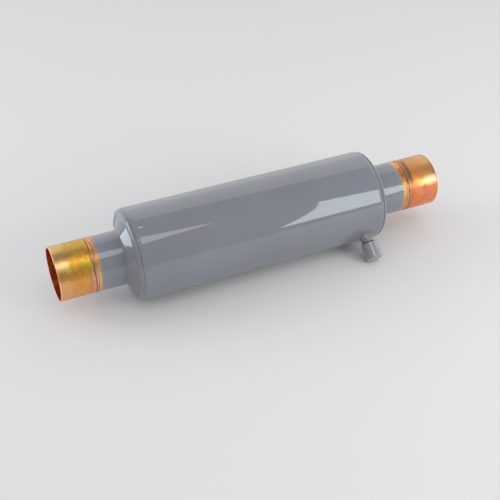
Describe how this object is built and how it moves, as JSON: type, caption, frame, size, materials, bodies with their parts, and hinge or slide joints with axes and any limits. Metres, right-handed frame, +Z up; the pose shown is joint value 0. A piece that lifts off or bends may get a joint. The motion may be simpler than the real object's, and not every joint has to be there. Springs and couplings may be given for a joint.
{
  "type": "suction filter",
  "caption": "Welded steel suction line filter with a copper solder socket at each end, a pleated element inside and a capped access valve near the inlet.",
  "frame": {"origin": "centre of the outlet socket's mouth, on the filter's main axis", "axes": "+X along the main axis from the outlet socket to the inlet socket, +Z up as it lies on its shell and valve cap, -Y towards the side the access valve leans to; millimetre source, metres here"},
  "size_m": [0.3355, 0.0898, 0.076],
  "materials": {
    "shell_paint": "glossy mid grey paint, slightly blue",
    "cap_paint": "semi-gloss mid grey paint",
    "copper": "bare copper, heat-tinted near the seam",
    "braze": "braze alloy, oxidised",
    "brass": "turned brass",
    "spring_steel": "spring wire",
    "plated_steel": "zinc-plated sheet",
    "seal_red": "moulded seal",
    "seal_purple": "moulded seal",
    "seal_black": "moulded gasket",
    "felt": "pleated polyester felt"
  },
  "bodies": {
    "filter": {"shell_tube": "shell_paint", "outlet_end_cap": "shell_paint", "inlet_end_cap": "shell_paint", "outlet_connection": "copper", "inlet_connection": "copper", "outlet_braze_ring": "braze", "inlet_braze_ring": "braze", "access_stem": "shell_paint", "stem_braze_fillet": "shell_paint", "core_plug": "brass", "core_barrel": "brass", "core_barrel_seal": "seal_red", "core_spring": "spring_steel", "pleated_element": "felt", "core_tube": "plated_steel", "outlet_end_disc": "plated_steel", "inlet_end_disc": "plated_steel", "element_gasket": "seal_black", "spring_seat": "plated_steel", "element_spring": "spring_steel"},
    "gasket_carrier": {"cap_gasket": "seal_black"},
    "valve_cap": {"access_cap": "cap_paint"},
    "valve_pin": {"core_pin": "plated_steel", "core_plunger_cup": "brass", "core_plunger_seal": "seal_purple"}
  },
  "joints": [
    {"name": "cap_lift", "type": "slide", "parent": "filter", "child": "gasket_carrier", "axis": [0, -0.828, -0.5607], "range_m": [0, 0.0089]},
    {"name": "cap_turn", "type": "hinge", "parent": "gasket_carrier", "child": "valve_cap", "pos_m": [0.2609, -0.04471, -0.03028], "axis": [0, -0.828, -0.5607], "range_deg": [0, 2520]},
    {"name": "pin_press", "type": "slide", "parent": "filter", "child": "valve_pin", "axis": [0, 0.828, 0.5607], "range_m": [0, 0.0015], "stiffness_N_per_m": 700, "springref_m": -0.001, "deforming": ["core_spring"]}
  ],
  "couplings": [
    {"joint": "cap_lift", "follows": "cap_turn", "m_per_rad": 0.00020213}
  ]
}
